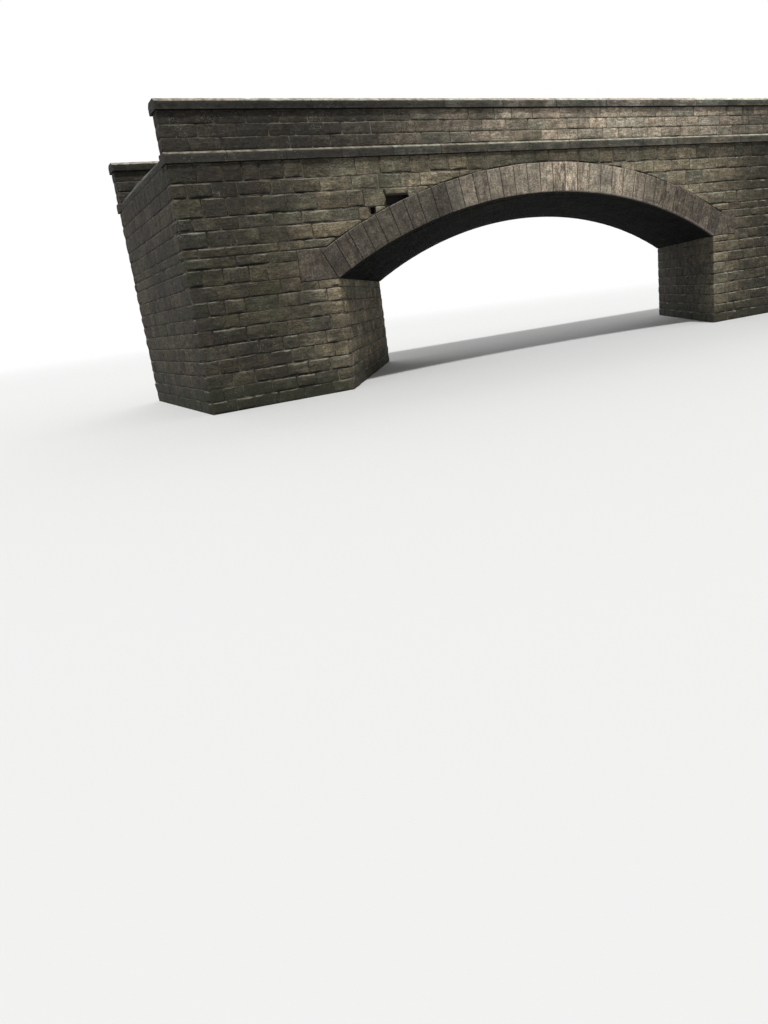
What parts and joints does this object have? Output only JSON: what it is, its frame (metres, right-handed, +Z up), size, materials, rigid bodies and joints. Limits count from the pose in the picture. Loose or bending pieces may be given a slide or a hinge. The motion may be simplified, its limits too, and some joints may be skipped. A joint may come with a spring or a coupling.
{
  "type": "stone arch bridge",
  "caption": "Skew segmental stone arch road bridge with a ring of cut stones, coursed side walls, a string course, parapets and a coping, on solid abutments.",
  "frame": {"origin": "on the level base of the abutments, under the middle of the bridge", "axes": "+X along the road, +Y across it, away from the near side, +Z up"},
  "size_m": [27.72, 7.24, 7.39],
  "materials": {
    "wall_stone": "weathered rock-faced sandstone",
    "ring_stone": "tooled sandstone",
    "soffit_stone": "sooty damp sandstone",
    "coping_stone": "weathered dressed sandstone",
    "core_rubble": "packed rubble",
    "road_surface": "rolled stone chippings"
  },
  "bodies": {
    "root": {"abutment_left": "wall_stone", "abutment_right": "wall_stone", "skewback_left": "soffit_stone", "skewback_right": "soffit_stone", "springer_near_left": "ring_stone", "springer_near_right": "ring_stone", "springer_far_left": "ring_stone", "springer_far_right": "ring_stone", "arch_barrel": "soffit_stone", "keystone_near": "ring_stone", "keystone_far": "ring_stone", "ring_near_left": "ring_stone", "ring_near_right": "ring_stone", "ring_far_left": "ring_stone", "ring_far_right": "ring_stone", "spandrel_near_left": "wall_stone", "spandrel_near_right": "wall_stone", "spandrel_far_left": "wall_stone", "spandrel_far_right": "wall_stone", "wing_near_left": "wall_stone", "wing_near_right": "wall_stone", "wing_far_left": "wall_stone", "wing_far_right": "wall_stone", "end_wall_left": "wall_stone", "end_wall_right": "wall_stone", "core_fill": "core_rubble", "roadway": "road_surface", "string_near": "coping_stone", "string_far": "coping_stone", "parapet_near": "wall_stone", "parapet_far": "wall_stone", "coping_near": "coping_stone", "coping_far": "coping_stone"}
  },
  "joints": []
}
